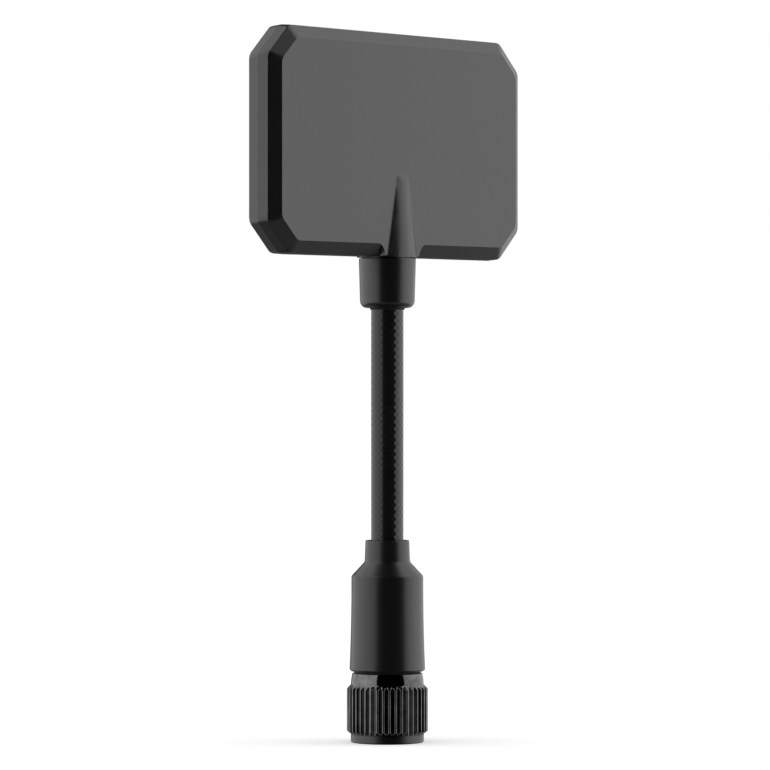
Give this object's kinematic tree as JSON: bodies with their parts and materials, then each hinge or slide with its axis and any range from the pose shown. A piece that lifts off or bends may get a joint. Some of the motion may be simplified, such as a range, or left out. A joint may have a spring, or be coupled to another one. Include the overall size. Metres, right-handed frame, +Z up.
{
  "type": "moxon antenna",
  "caption": "Flat eight-sided directional antenna head on a straight round stem, with a tapered boot and a knurled screw-on coaxial plug that turns freely.",
  "frame": {"origin": "centre of the coupling nut's foot, on the stem's axis, at the lowest face", "axes": "+Z up the stem from the plug to the head, +X across the head's width, and -Y out of the head's rear face"},
  "size_m": [0.0464, 0.01, 0.0873],
  "materials": {
    "shell_plastic": "fine satin moulded black",
    "collar_plastic": "smooth satin black",
    "boot_plastic": "smooth satin black",
    "sleeve_film": "thin shrunk sleeve, semi-gloss black",
    "black_plate": "glossy black-plated brass, also on the body of the plug",
    "gold_plate": "gold-plated brass",
    "spring_bronze": "spring bronze",
    "ptfe": "white, waxy",
    "silvered_wire": "silver-plated wire",
    "tinned_braid": "tin-soaked braid",
    "solder": "tin solder",
    "copper": "etched copper",
    "board": "glass-epoxy laminate",
    "seal_rubber": "silicone seal"
  },
  "bodies": {
    "antenna": {"rear_shell": "shell_plastic", "front_shell": "shell_plastic", "antenna_board": "board", "driven_arm_hot": "copper", "driven_arm_ground": "copper", "reflector": "copper", "feed_solder": "solder", "reflector_solder": "solder", "centre_conductor": "silvered_wire", "coax_dielectric": "ptfe", "coax_shield": "tinned_braid", "stem_sleeve": "sleeve_film", "collar": "collar_plastic", "boot": "boot_plastic", "cable_solder": "solder", "connector_body": "black_plate", "connector_insulator": "ptfe", "centre_contact": "gold_plate", "gasket": "seal_rubber", "snap_ring": "spring_bronze"},
    "nut": {"coupling_nut": "black_plate"}
  },
  "joints": [
    {"name": "nut_turn", "type": "hinge", "parent": "antenna", "child": "nut", "pos_m": [0, 0, 0.0043], "axis": [0, 0, 1], "continuous": true}
  ]
}
